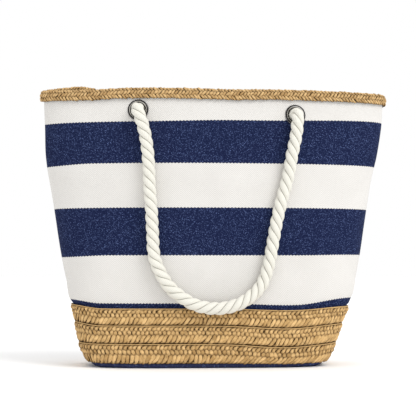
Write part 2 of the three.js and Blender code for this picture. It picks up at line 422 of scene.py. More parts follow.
# ---------------------------------------------------------------------------------------------
# Node helpers and finishes
# ---------------------------------------------------------------------------------------------


class Sheet:
    """A material's node tree, with short calls for the nodes that the finishes share."""

    def __init__(self, name: str) -> None:
        """Makes an empty material of a name."""
        self.material = bpy.data.materials.new(name)
        self.material.use_nodes = True
        self.tree = self.material.node_tree
        self.shader = self.tree.nodes["Principled BSDF"]

    def node(self, kind: str, **settings: object) -> bpy.types.Node:
        """Adds a node and sets its properties."""
        made = self.tree.nodes.new(kind)
        for key, value in settings.items():
            setattr(made, key, value)
        return made

    def feed(self, socket: bpy.types.NodeSocket, value: object) -> None:
        """Links a socket to an output, or sets it to a plain value."""
        if isinstance(value, bpy.types.NodeSocket):
            self.tree.links.new(value, socket)
        else:
            socket.default_value = value

    def math(
        self, operation: str, first: object, second: object = 0.0, third: object = 0.0
    ) -> bpy.types.NodeSocket:
        """A Math node.

        Args:
            operation: the node's operation.
            first: an output or a number.
            second: an output or a number.
            third: an output or a number, for the operations that take three.

        Returns:
            The node's output.
        """
        made = self.node("ShaderNodeMath", operation=operation)
        for socket, value in zip(made.inputs, (first, second, third)):
            self.feed(socket, value)
        return made.outputs[0]

    def blend(self, factor: object, first: object, second: object) -> bpy.types.NodeSocket:
        """Mixes two colours.

        Args:
            factor: 0 gives the first colour, 1 the second.
            first: a colour or an output.
            second: a colour or an output.

        Returns:
            The mixed colour.
        """
        made = self.node("ShaderNodeMix", data_type="RGBA")
        self.feed(made.inputs[0], factor)
        for socket, value in ((made.inputs[6], first), (made.inputs[7], second)):
            self.feed(socket, (*value, 1.0) if isinstance(value, tuple) else value)
        return made.outputs[2]

    def step(self, value: object, low: float, high: float) -> bpy.types.NodeSocket:
        """Spreads low to high over 0 to 1, smoothly, and holds it outside."""
        made = self.node("ShaderNodeMapRange", interpolation_type="SMOOTHSTEP")
        for index, given in enumerate((value, low, high, 0.0, 1.0)):
            self.feed(made.inputs[index], given)
        return made.outputs[0]

    def uv(self, name: str) -> tuple[bpy.types.NodeSocket, bpy.types.NodeSocket, bpy.types.NodeSocket]:
        """The piece's own UV map.

        Args:
            name: the map's name.

        Returns:
            The map's vector, its U and its V.
        """
        source = self.node("ShaderNodeUVMap", uv_map=name)
        parts = self.node("ShaderNodeSeparateXYZ")
        self.feed(parts.inputs[0], source.outputs[0])
        return source.outputs[0], parts.outputs[0], parts.outputs[1]

    def spot(self) -> bpy.types.NodeSocket:
        """The object coordinates, in metres."""
        return self.node("ShaderNodeTexCoord").outputs["Object"]

    def attribute(self, name: str) -> bpy.types.NodeSocket:
        """A number stored on the mesh."""
        return self.node("ShaderNodeAttribute", attribute_name=name).outputs["Fac"]

    def stretch(self, vector: bpy.types.NodeSocket, scale: Sequence[float]) -> bpy.types.NodeSocket:
        """Scales a coordinate by axis."""
        made = self.node("ShaderNodeMapping")
        self.feed(made.inputs["Vector"], vector)
        made.inputs["Scale"].default_value = tuple(scale)
        return made.outputs[0]

    def noise(self, vector: bpy.types.NodeSocket, scale: float, detail: float = 2.0) -> bpy.types.NodeSocket:
        """Fractal noise of a scale, from 0 to 1."""
        made = self.node("ShaderNodeTexNoise")
        self.feed(made.inputs["Vector"], vector)
        made.inputs["Scale"].default_value = scale
        made.inputs["Detail"].default_value = detail
        return made.outputs[0]

    def dots(self, vector: bpy.types.NodeSocket, scale: float, bare: float) -> bpy.types.NodeSocket:
        """Scattered soft specks, 0 between them and up to 1 on the brightest.

        Args:
            vector: where on the surface.
            scale: specks in a metre, if every place had one.
            bare: share of the places that have none.

        Returns:
            The pattern.
        """
        made = self.node("ShaderNodeTexVoronoi", voronoi_dimensions="2D")
        self.feed(made.inputs["Vector"], vector)
        made.inputs["Scale"].default_value = scale
        parts = self.node("ShaderNodeSeparateColor")
        self.feed(parts.inputs[0], made.outputs["Color"])
        near = self.math("SUBTRACT", 1.0, self.step(made.outputs["Distance"], 0.15, 0.6))
        return self.math("MULTIPLY", near, self.step(parts.outputs[0], bare, 1.0))

    def bump(self, height: bpy.types.NodeSocket, distance: float, strength: float = 1.0) -> None:
        """Raises the surface by a height pattern.

        Args:
            height: the pattern, 0 to 1.
            distance: metres from its 0 to its 1.
            strength: how much of it shows.
        """
        made = self.node("ShaderNodeBump")
        made.inputs["Distance"].default_value = distance
        made.inputs["Strength"].default_value = strength
        self.feed(made.inputs["Height"], height)
        self.feed(self.shader.inputs["Normal"], made.outputs[0])

    def surface(self, colour: object, roughness: object, sheen: float = 0.0, specular: float = 0.2) -> None:
        """Sets the shader's colour, roughness, sheen and specular level."""
        self.feed(self.shader.inputs["Base Color"], (*colour, 1.0) if isinstance(colour, tuple) else colour)
        self.feed(self.shader.inputs["Roughness"], roughness)
        self.shader.inputs["Specular IOR Level"].default_value = specular
        self.shader.inputs["Sheen Weight"].default_value = sheen
        self.shader.inputs["Sheen Roughness"].default_value = 0.6


@dataclass(frozen=True)
class StripedTwill:
    """Herringbone cotton twill with navy stripes woven across it, drawn on the cloth's own map in metres.

    The stripes' edges step from one weft thread to the next, which leaves a row of small teeth.
    """

    name: str = "striped_twill"
    white: Colour = rgb(233, 231, 227)
    white_shade: Colour = rgb(179, 175, 170)
    navy: Colour = rgb(21, 29, 60)
    navy_light: Colour = rgb(112, 131, 182)
    stripes: tuple[tuple[float, float], ...] = ((0.275, 0.332), (0.151, 0.215), (0.060, 0.0868))
    tooth: float = 0.0046
    tooth_depth: float = 0.0010
    column: float = 0.0115
    rib: float = 0.0026
    edge_softness: float = 0.00025

    def build(self) -> bpy.types.Material:
        """Makes the material and gives it back."""
        sheet = Sheet(self.name)
        vector, around, height = sheet.uv("cloth")
        twill = self._twill(sheet, around, height)
        mask = self._stripe_mask(sheet, around, height)
        fleck = sheet.noise(sheet.stretch(vector, (1.0, 0.7, 1.0)), 760, 1.0)
        cloud = sheet.noise(vector, 22, 3)
        pale_mix = sheet.math("MULTIPLY_ADD", twill, 0.54, sheet.math("MULTIPLY", cloud, 0.2))
        pale = sheet.blend(pale_mix, self.white, self.white_shade)
        bright = sheet.math("MULTIPLY_ADD", sheet.step(fleck, 0.5, 0.85), 0.4, sheet.dots(vector, 900, 0.7))
        navy_mix = sheet.math("MULTIPLY", bright, sheet.math("MULTIPLY_ADD", twill, 0.4, 0.4))
        dark = sheet.blend(navy_mix, self.navy, self.navy_light)
        sheet.surface(sheet.blend(mask, pale, dark), 0.95, specular=0.08)
        grain = sheet.math("MULTIPLY_ADD", fleck, 0.7, sheet.math("MULTIPLY", twill, 0.6))
        sheet.bump(grain, 0.00035, 0.7)
        return sheet.material

    def _twill(
        self, sheet: Sheet, around: bpy.types.NodeSocket, height: bpy.types.NodeSocket
    ) -> bpy.types.NodeSocket:
        """Diagonal ribs that turn back at every column.

        Args:
            sheet: the material's nodes.
            around: metres round the bag.
            height: metres up it.

        Returns:
            0 in a groove, 1 on a rib.
        """
        zigzag = sheet.math("PINGPONG", around, self.column)
        slope = sheet.math("ADD", height, zigzag)
        wave = sheet.math("SINE", sheet.math("MULTIPLY", slope, TURN / self.rib))
        return sheet.math("MULTIPLY_ADD", wave, 0.5, 0.5)

    def _stripe_mask(
        self, sheet: Sheet, around: bpy.types.NodeSocket, height: bpy.types.NodeSocket
    ) -> bpy.types.NodeSocket:
        """Where the stripes are, with toothed edges.

        Args:
            sheet: the material's nodes.
            around: metres round the bag.
            height: metres up it.

        Returns:
            1 inside a stripe, 0 outside.
        """
        teeth = sheet.math("PINGPONG", around, self.tooth / 2)
        ragged = sheet.math("MULTIPLY_ADD", teeth, 2 * self.tooth_depth / self.tooth, height)
        level = sheet.math("SUBTRACT", ragged, self.tooth_depth / 2)
        total: object = 0.0
        soft = self.edge_softness
        for low, high in self.stripes:
            inside = sheet.math(
                "MULTIPLY",
                sheet.step(level, low - soft, low + soft),
                sheet.math("SUBTRACT", 1.0, sheet.step(level, high - soft, high + soft)),
            )
            total = sheet.math("ADD", total, inside)
        return total


@dataclass(frozen=True)
class PlainCloth:
    """Plain woven cotton: crossing threads on the cloth's own map in metres."""

    name: str
    colour: Colour
    shade: Colour
    thread: float = 0.0011

    def build(self) -> bpy.types.Material:
        """Makes the material and gives it back."""
        sheet = Sheet(self.name)
        vector, around, height = sheet.uv("cloth")
        pitch = TURN / self.thread
        warp = sheet.math("SINE", sheet.math("MULTIPLY", around, pitch))
        weft = sheet.math("SINE", sheet.math("MULTIPLY", height, pitch))
        weave = sheet.math("MULTIPLY_ADD", sheet.math("MULTIPLY", warp, weft), 0.5, 0.5)
        slub = sheet.noise(sheet.stretch(vector, (1.0, 9.0, 1.0)), 120, 3)
        cloud = sheet.noise(vector, 18, 3)
        tone = sheet.math("MULTIPLY_ADD", weave, 0.35, sheet.math("MULTIPLY", slub, 0.4))
        colour = sheet.blend(sheet.math("MULTIPLY_ADD", cloud, 0.3, tone), self.colour, self.shade)
        sheet.surface(colour, 0.93, sheen=0.1)
        sheet.bump(sheet.math("ADD", weave, slub), 0.0002, 0.6)
        return sheet.material


@dataclass(frozen=True)
class Straw:
    """Twisted paper straw: fine fibres along each strand, a tone of its own for each, and painted shade where
    it dives under its neighbours and down its flanks.
    """

    name: str
    light: Colour
    body: Colour
    # The dark of the worn patches, and of the painted shade where a strand dives.
    deep: Colour
    ribs: int = 3

    def build(self) -> bpy.types.Material:
        """Makes the material and gives it back."""
        sheet = Sheet(self.name)
        vector, _, across = sheet.uv("strand")
        tone = sheet.attribute("tone")
        height = sheet.attribute("height")
        fibre = sheet.noise(sheet.stretch(vector, (0.16, 1.0, 1.0)), 1500, 3)
        patch = sheet.noise(vector, 130, 3)
        shine = sheet.math("MULTIPLY_ADD", fibre, 0.65, sheet.math("MULTIPLY", tone, 0.5))
        lit = sheet.step(shine, 0.28, 0.84)
        body = sheet.blend(lit, self.body, self.light)
        worn = sheet.blend(sheet.math("MULTIPLY", sheet.step(patch, 0.45, 0.8), 0.35), body, self.deep)
        # Painted shade: the lower a point lies in the plait, on a strand's flank or where it dives under
        # another, the more it takes the deep colour.
        rise = sheet.step(height, 0.46, 1.0)
        painted_shade = sheet.math("MULTIPLY", sheet.math("SUBTRACT", 1.0, rise), 0.92)
        rib = sheet.math("SINE", sheet.math("MULTIPLY", across, TURN * self.ribs))
        sheet.surface(sheet.blend(painted_shade, worn, self.deep), 0.8, specular=0.15)
        sheet.bump(sheet.math("MULTIPLY_ADD", rib, 0.18, fibre), 0.0004, 0.8)
        return sheet.material


@dataclass(frozen=True)
class CottonRope:
    """Laid cotton rope: soft ivory strands of twisted yarn, with painted shade down in the lay."""

    name: str = "cotton_rope"
    ivory: Colour = rgb(235, 233, 224)
    yarn_shade: Colour = rgb(206, 203, 190)
    # The painted shade down in the lay between strands.
    groove: Colour = rgb(128, 124, 112)
    yarn: float = 0.0022
    yarn_slope: float = -1.37

    def build(self) -> bpy.types.Material:
        """Makes the material and gives it back."""
        sheet = Sheet(self.name)
        vector, along, around = sheet.uv("strand")
        depth = sheet.attribute("height")
        slope = sheet.math("MULTIPLY_ADD", along, self.yarn_slope, around)
        yarns = sheet.math("SINE", sheet.math("MULTIPLY", slope, TURN / self.yarn))
        yarns = sheet.math("MULTIPLY_ADD", yarns, 0.5, 0.5)
        fuzz = sheet.noise(sheet.stretch(vector, (1.0, 0.03, 1.0)), 1100, 3)
        cloud = sheet.noise(sheet.spot(), 60, 3)
        tone = sheet.math("MULTIPLY_ADD", yarns, 0.26, sheet.math("MULTIPLY", fuzz, 0.34))
        tone = sheet.math("MULTIPLY_ADD", cloud, 0.2, tone)
        cotton = sheet.blend(tone, self.ivory, self.yarn_shade)
        # Painted shade: the deeper a point lies in the lay, the more it takes the groove colour.
        painted_shade = sheet.math("SUBTRACT", 1.0, sheet.step(depth, 0.0, 0.30))
        sheet.surface(sheet.blend(painted_shade, cotton, self.groove), 0.9, sheen=0.2)
        sheet.bump(sheet.math("MULTIPLY_ADD", fuzz, 0.6, yarns), 0.00035, 0.55)
        return sheet.material


@dataclass(frozen=True)
class DarkNickel:
    """Polished dark nickel plate with fine turning marks, dim handling spots, and rings of painted shade and
    painted dark reflection set by a number on the mesh.
    """

    name: str = "dark_nickel"
    bright: Colour = (0.74, 0.73, 0.72)
    # The dark of the handling spots, and of the painted shade and dark reflection rings.
    dull_and_shade: Colour = (0.022, 0.021, 0.021)

    def build(self) -> bpy.types.Material:
        """Makes the material and gives it back."""
        sheet = Sheet(self.name)
        spot = sheet.spot()
        smudge = sheet.noise(spot, 160, 4)
        scratch = sheet.noise(sheet.stretch(spot, (1.0, 1.0, 7.0)), 900, 2)
        # Handling spots from the noise, plus the rings of painted shade and dark reflection stored on the
        # mesh.
        worn = sheet.math("MULTIPLY_ADD", smudge, 0.4, sheet.attribute("shade_band"))
        colour = sheet.blend(sheet.step(worn, 0.1, 1.2), self.bright, self.dull_and_shade)
        sheet.surface(colour, sheet.math("MULTIPLY_ADD", smudge, 0.2, 0.16))
        sheet.shader.inputs["Metallic"].default_value = 1.0
        sheet.bump(scratch, 0.00005, 0.4)
        return sheet.material


@dataclass(frozen=True)
class Fibreboard:
    """Pressed brown fibre with flecks."""

    name: str = "fibreboard"
    light: Colour = rgb(172, 150, 118)
    dark: Colour = rgb(128, 106, 78)

    def build(self) -> bpy.types.Material:
        """Makes the material and gives it back."""
        sheet = Sheet(self.name)
        spot = sheet.spot()
        fleck = sheet.noise(spot, 420, 4)
        sheet.surface(sheet.blend(sheet.step(fleck, 0.35, 0.65), self.dark, self.light), 0.9)
        sheet.bump(fleck, 0.0002, 0.6)
        return sheet.material


@dataclass(frozen=True)
class Floor:
    """A plain pale floor."""

    name: str = "pale_floor"
    colour: Colour = (0.97, 0.97, 0.97)
    shade: Colour = (0.90, 0.90, 0.90)

    def build(self) -> bpy.types.Material:
        """Makes the material and gives it back."""
        sheet = Sheet(self.name)
        grain = sheet.noise(sheet.spot(), 40, 2)
        sheet.surface(sheet.blend(sheet.math("MULTIPLY", grain, 0.04), self.colour, self.shade), 0.9)
        return sheet.material


@dataclass
class Finishes:
    """Every material of the bag, made once."""

    twill: bpy.types.Material
    navy: bpy.types.Material
    lining: bpy.types.Material
    foot_straw: bpy.types.Material
    rim_straw: bpy.types.Material
    rope: bpy.types.Material
    nickel: bpy.types.Material
    board: bpy.types.Material

    @classmethod
    def mix_all(cls) -> "Finishes":
        """Builds the materials."""
        return cls(
            twill=StripedTwill().build(),
            navy=StripedTwill("navy_twill", navy=rgb(50, 55, 88), stripes=((-1.0, 1.0),)).build(),
            lining=PlainCloth("lining_cotton", rgb(226, 219, 203), rgb(196, 187, 168)).build(),
            foot_straw=Straw("foot_straw", rgb(231, 193, 135), rgb(174, 138, 87), rgb(58, 36, 15)).build(),
            rim_straw=Straw("rim_straw", rgb(218, 183, 130), rgb(168, 133, 86), rgb(60, 39, 17)).build(),
            rope=CottonRope().build(),
            nickel=DarkNickel().build(),
            board=Fibreboard().build(),
        )


# ---------------------------------------------------------------------------------------------
# Tubes and cloth from grids
# ---------------------------------------------------------------------------------------------

TubePlace = Callable[[float, float], tuple[Vector, float, float]]


def tube(
    bm: bmesh.types.BMesh,
    steps: int,
    sides: int,
    place: TubePlace,
    map_size: tuple[float, float],
    tone: float,
    closed: bool,
) -> None:
    """Adds a strand: a grid rolled into a tube and laid along its route.

    Args:
        bm: the bmesh to add it to; it has the layers that strand_bmesh gives.
        steps: cells along the strand.
        sides: cells around it.
        place: gives the point, and the height number, for a share along and a share around.
        map_size: the strand's length and girth on its map.
        tone: the strand's own shade, 0 to 1.
        closed: whether the strand's end meets its start; an open one is capped.
    """
    uv_layer = bm.loops.layers.uv["strand"]
    height_layer = bm.verts.layers.float["height"]
    tone_layer = bm.verts.layers.float["tone"]
    made = bmesh.ops.create_grid(bm, x_segments=steps, y_segments=sides, size=0.5)
    verts = made["verts"]
    length, girth = map_size
    faces = {face for vert in verts for face in vert.link_faces}
    for face in faces:
        for loop in face.loops:
            corner = loop.vert.co
            along, around = (corner.x + 0.5) * length, (corner.y + 0.5) * girth
            loop[uv_layer].uv = (along + tone * 3.7, around + tone * 1.3)
    seam: list[bmesh.types.BMVert] = []
    ends: list[bmesh.types.BMVert] = []
    for vert in verts:
        along, around = vert.co.x + 0.5, vert.co.y + 0.5
        if abs(vert.co.y) > 0.4999:
            seam.append(vert)
        if abs(vert.co.x) > 0.4999:
            ends.append(vert)
        point, height, shade = place(along, around)
        vert.co = point
        vert[height_layer] = height
        vert[tone_layer] = shade * 0.5 + tone * 0.5
    weld = list(dict.fromkeys(seam + ends)) if closed else seam
    bmesh.ops.remove_doubles(bm, verts=weld, dist=WELD)
    if not closed:
        rims = {edge for vert in ends if vert.is_valid for edge in vert.link_edges if edge.is_boundary}
        bmesh.ops.holes_fill(bm, edges=list(rims), sides=0)


def strand_bmesh() -> bmesh.types.BMesh:
    """An empty bmesh with the map and numbers that the straw and rope finishes read."""
    bm = bmesh.new()
    bm.loops.layers.uv.new("strand")
    bm.verts.layers.float.new("height")
    bm.verts.layers.float.new("tone")
    return bm


def cloth_grid(
    columns: int,
    rows: int,
    place: Callable[[float, float], Vector],
    chart: Callable[[float, float], tuple[float, float]],
) -> bmesh.types.BMesh:
    """A single sheet of cloth as a grid.

    Args:
        columns: cells across.
        rows: cells up.
        place: gives the point for a share across and a share up.
        chart: gives the map's U and V, in metres, for the same shares.

    Returns:
        The sheet, with a map named cloth.
    """
    bm = bmesh.new()
    layer = bm.loops.layers.uv.new("cloth")
    bmesh.ops.create_grid(bm, x_segments=columns, y_segments=rows, size=0.5)
    for face in bm.faces:
        for loop in face.loops:
            loop[layer].uv = chart(loop.vert.co.x + 0.5, loop.vert.co.y + 0.5)
    for vert in bm.verts:
        vert.co = place(vert.co.x + 0.5, vert.co.y + 0.5)
    return bm


def thicken(bm: bmesh.types.BMesh, outwards: Callable[[Vector], Vector], thickness: float) -> None:
    """Gives a sheet its thickness, inwards from the face it was laid on.

    Args:
        bm: the sheet.
        outwards: gives the direction that a face at a point should look in.
        thickness: metres.
    """
    bm.normal_update()
    wrong = [f for f in bm.faces if f.normal.dot(outwards(f.calc_center_median())) < 0]
    bmesh.ops.reverse_faces(bm, faces=wrong)
    bm.normal_update()
    bmesh.ops.solidify(bm, geom=bm.faces[:], thickness=thickness)


# ---------------------------------------------------------------------------------------------
# Fittings' places
# ---------------------------------------------------------------------------------------------


@dataclass(frozen=True)
class EyeletPlace:
    """One eyelet's place: its name, its side, the middle of its ring on the wall and the way it faces."""

    name: str
    side: Side
    centre: Vector
    outwards: Vector

    @classmethod
    def all_four(cls) -> list["EyeletPlace"]:
        """The front pair, and the same pair turned half round for the back."""
        high = (Vector((-0.1050, -0.06114, 0.3475)), Vector((-0.1464, -0.9827, 0.1138)))
        low = (Vector((0.1087, -0.06121, 0.3420)), Vector((0.1532, -0.9820, 0.1105)))
        turned = Matrix.Rotation(math.pi, 3, "Z")
        return [
            cls("front_left", Side.FRONT, *high),
            cls("front_right", Side.FRONT, *low),
            cls("back_left", Side.BACK, *(turned @ part for part in low)),
            cls("back_right", Side.BACK, *(turned @ part for part in high)),
        ]

    def out(self, distance: float) -> Vector:
        """The point a distance out along the eyelet's axis."""
        return self.centre + self.outwards * distance

    def stand(self, bm: bmesh.types.BMesh) -> None:
        """Moves a shape made about +Z onto the eyelet."""
        turn = Vector((0, 0, 1)).rotation_difference(self.outwards).to_matrix().to_4x4()
        bmesh.ops.transform(bm, matrix=Matrix.Translation(self.centre) @ turn, verts=bm.verts)


# ---------------------------------------------------------------------------------------------
# Ropes
# ---------------------------------------------------------------------------------------------


def smooth_route(points: Sequence[Vector], step: float) -> list[Vector]:
    """A smooth curve through points, as evenly spaced points.

    Args:
        points: the points it passes through; its ends are the first and the last.
        step: the spacing wanted, in metres.

    Returns:
        The curve's points.
    """
    padded = [points[0] * 2 - points[1], *points, points[-1] * 2 - points[-2]]
    dense: list[Vector] = []
    for before, start, stop, after in zip(padded, padded[1:], padded[2:], padded[3:]):
        reach = max((stop - start).length, 1e-9)
        leave = (stop - before) * (reach / max((stop - start).length + (start - before).length, 1e-9))
        arrive = (after - start) * (reach / max((after - stop).length + reach, 1e-9))
        for part in range(24):
            t = part / 24
            dense.append(
                start * (2 * t**3 - 3 * t**2 + 1)
                + leave * (t**3 - 2 * t**2 + t)
                + stop * (3 * t**2 - 2 * t**3)
                + arrive * (t**3 - t**2)
            )
    dense.append(points[-1].copy())
    return even_route(dense, step)


def even_route(dense: Sequence[Vector], step: float) -> list[Vector]:
    """The same line with its points evenly spaced."""
    lengths = [0.0]
    for one, two in zip(dense, dense[1:]):
        lengths.append(lengths[-1] + (two - one).length)
    count = max(2, round(lengths[-1] / step))
    route = []
    cursor = 0
    for index in range(count + 1):
        target = lengths[-1] * index / count
        while cursor < len(dense) - 2 and lengths[cursor + 1] < target:
            cursor += 1
        local = (target - lengths[cursor]) / max(lengths[cursor + 1] - lengths[cursor], 1e-12)
        route.append(dense[cursor].lerp(dense[cursor + 1], min(1.0, local)))
    return route


def route_length(route: Sequence[Vector]) -> float:
    """The length of a line of points."""
    return sum((two - one).length for one, two in zip(route, route[1:]))


@dataclass
class LaidRope:
    """Three plump strands laid round each other."""

    radius: float = ROPE_RADIUS
    lay: float = 0.040
    groove: float = 0.0028
    sides: int = 48

    def surface(self, bm: bmesh.types.BMesh, route: Sequence[Vector], tone: float) -> None:
        """Adds the rope's surface.

        Args:
            bm: a strand bmesh.
            route: the rope's middle line.
            tone: its shade, 0 to 1.
        """
        frames = self._frames(route)
        steps = len(route) - 1
        scale = self.radius / ROPE_RADIUS
        deepest = self._reach(math.pi / 3) * scale
        length = route_length(route)

        def place(along: float, around: float) -> tuple[Vector, float, float]:
            """The point, its depth in the lay and its shade."""
            index = round(along * steps)
            centre, one, two = frames[index]
            local = TURN * around
            twist = -TURN * (length * along) / self.lay
            nearest = (local + math.pi / 3) % (TURN / 3) - math.pi / 3
            reach = self._reach(nearest) * scale
            turn = local + twist
            point = centre + (one * math.cos(turn) + two * math.sin(turn)) * reach
            depth = (reach - deepest) / (self.radius - deepest)
            return point, depth, tone

        girth = TURN * self.radius
        tube(bm, steps, self.sides, place, (length, girth), tone, closed=False)

    def _reach(self, angle: float) -> float:
        """The handle rope's radius at an angle from a strand's middle, before surface scales it."""
        return ROPE_RADIUS - self.groove * (abs(angle) / (math.pi / 3)) ** 2.5

    @staticmethod
    def _frames(route: Sequence[Vector]) -> list[tuple[Vector, Vector, Vector]]:
        """Gives every point of a line two directions across it, which don't twist along the way.

        Args:
            route: the line.

        Returns:
            The point and its two directions, for each point.
        """
        frames = []
        across: Optional[Vector] = None
        for index, point in enumerate(route):
            ahead = route[min(index + 1, len(route) - 1)] - route[max(index - 1, 0)]
            ahead.normalize()
            if across is None:
                across = ahead.orthogonal().normalized()
            across = (across - ahead * across.dot(ahead)).normalized()
            frames.append((point, across, ahead.cross(across)))
        return frames


@dataclass
class Handles:
    """The two rope handles and the knots that hold them inside the wall."""

    finishes: Finishes
    places: list[EyeletPlace]
    rope: LaidRope = field(default_factory=LaidRope)
    route: tuple[tuple[float, float, float], ...] = (
        (-0.1038, -0.0756, 0.3395),
        (-0.0980, -0.0770, 0.3220),
        (-0.0935, -0.0788, 0.2980),
        (-0.0910, -0.0805, 0.2720),
        (-0.0900, -0.0825, 0.2440),
        (-0.0875, -0.0848, 0.2130),
        (-0.0858, -0.0863, 0.1810),
        (-0.0837, -0.0873, 0.1500),
        (-0.0755, -0.0880, 0.1280),
        (-0.0638, -0.0895, 0.1095),
        (-0.0470, -0.0918, 0.0950),
        (-0.0270, -0.0935, 0.0845),
        (0.0000, -0.0935, 0.0804),
        (0.0250, -0.0935, 0.0850),
        (0.0440, -0.0915, 0.0955),
        (0.0597, -0.0888, 0.1125),
        (0.0687, -0.0877, 0.1370),
        (0.0743, -0.0870, 0.1650),
        (0.0797, -0.0855, 0.1940),
        (0.0865, -0.0835, 0.2220),
        (0.0960, -0.0805, 0.2560),
        (0.1024, -0.0783, 0.2880),
        (0.1082, -0.0768, 0.3150),
        (0.1100, -0.0759, 0.3320),
    )
    spacing: float = 0.0016
    knot_size: float = 0.0044
    knot_depth: float = 0.0062
    knot_seat: float = -0.0215
    knot_points: int = 96
    knot_spacing: float = 0.0018
    knot_tail: tuple[tuple[float, float], ...] = (
        (-0.024, -0.008),
        (-0.027, -0.016),
        (-0.0285, -0.024),
        (-0.029, -0.031),
    )

    def build(self) -> None:
        """Makes both handles and the four knots."""
        named = {place.name: place for place in self.places}
        knots = {place.name: self._knot(place) for place in self.places}
        half_turn = Matrix.Rotation(math.pi, 3, "Z")
        front = self._path(named["front_left"], named["front_right"], Matrix.Identity(3))
        self._handle(Side.FRONT, front, ("front_left", "front_right"), knots)
        back = self._path(named["back_right"], named["back_left"], half_turn)
        self._handle(Side.BACK, back, ("back_left", "back_right"), knots)

    def _path(self, start: EyeletPlace, stop: EyeletPlace, turn: Matrix) -> list[Vector]:
        """The rope's middle line, from inside one eyelet round the hanging loop to inside the other.

        Args:
            start: the eyelet it starts from.
            stop: the eyelet it ends in.
            turn: turns the front loop to the side it hangs on.

        Returns:
            The line's points.
        """
        down = Vector((0, 0, -1))

        def leave(place: EyeletPlace) -> list[Vector]:
            """The way out through an eyelet and the start of the bend down."""
            rise = down * -0.0007
            bend = place.out(0.0112) + down * 0.0014
            return [place.out(-0.016), place.out(-0.006) + rise, place.out(0.0040) + rise, bend]

        loop = [turn @ Vector(point) for point in self.route]
        return smooth_route([*leave(start), *loop, *reversed(leave(stop))], self.spacing)

    def _handle(
        self, side: Side, path: list[Vector], ends: tuple[str, str], knots: dict[str, bpy.types.Object]
    ) -> None:
        """One handle, which bends where it leaves the eyelets.

        Args:
            side: the face of the bag it hangs on.
            path: its middle line.
            ends: the names of its eyelets.
            knots: the knots by eyelet; not used.
        """
        bm = strand_bmesh()
        self.rope.surface(bm, path, 0.5)
        piece = finish_mesh(f"rope_handle_{side.word}_laid", bm)
        dress(piece, self.finishes.rope)
        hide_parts(f"rope_handle_{side.word}", *(f"rope_through_{end}" for end in ends))
        sign = side.value
        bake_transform(piece, BAG, f"{side.word}_handle", (0, sign * 0.066, 0.3515), (0, sign * 0.082, 0.3075))
        length = route_length(path)
        tuple(path[0])
        [tuple(point) for point in path]
        LOG.info("%s: %.3f m of rope, %d faces", piece.name, length, len(piece.data.polygons))

    def _knot(self, place: EyeletPlace) -> bpy.types.Object:
        """An overhand knot drawn up against the washer, with a short end.

        Args:
            place: the eyelet it sits behind.

        Returns:
            The finished knot.
        """
        sideways = Vector((0, 0, 1)).cross(place.outwards).normalized()
        upwards = place.outwards.cross(sideways)
        loops = []
        for index in range(self.knot_points + 1):
            t = TURN * index / self.knot_points
            across = (math.sin(t) + 2 * math.sin(2 * t)) * self.knot_size
            up = (math.cos(t) - 2 * math.cos(2 * t)) * self.knot_size
            deep = -math.sin(3 * t) * self.knot_depth
            loops.append(place.out(self.knot_seat + deep) + sideways * across + upwards * up)
        bm = strand_bmesh()
        thin = LaidRope(radius=0.0064, lay=0.030, sides=30)
        thin.surface(bm, even_route(loops, self.knot_spacing), 0.4)
        tail = [place.out(out) + upwards * up for out, up in self.knot_tail]
        thin.surface(bm, smooth_route(tail, self.knot_spacing), 0.6)
        piece = finish_mesh(f"rope_knot_{place.name}_tied", bm)
        return settle(piece, self.finishes.rope, [f"rope_knot_{place.name}"])


# ---------------------------------------------------------------------------------------------
# Walls
# ---------------------------------------------------------------------------------------------


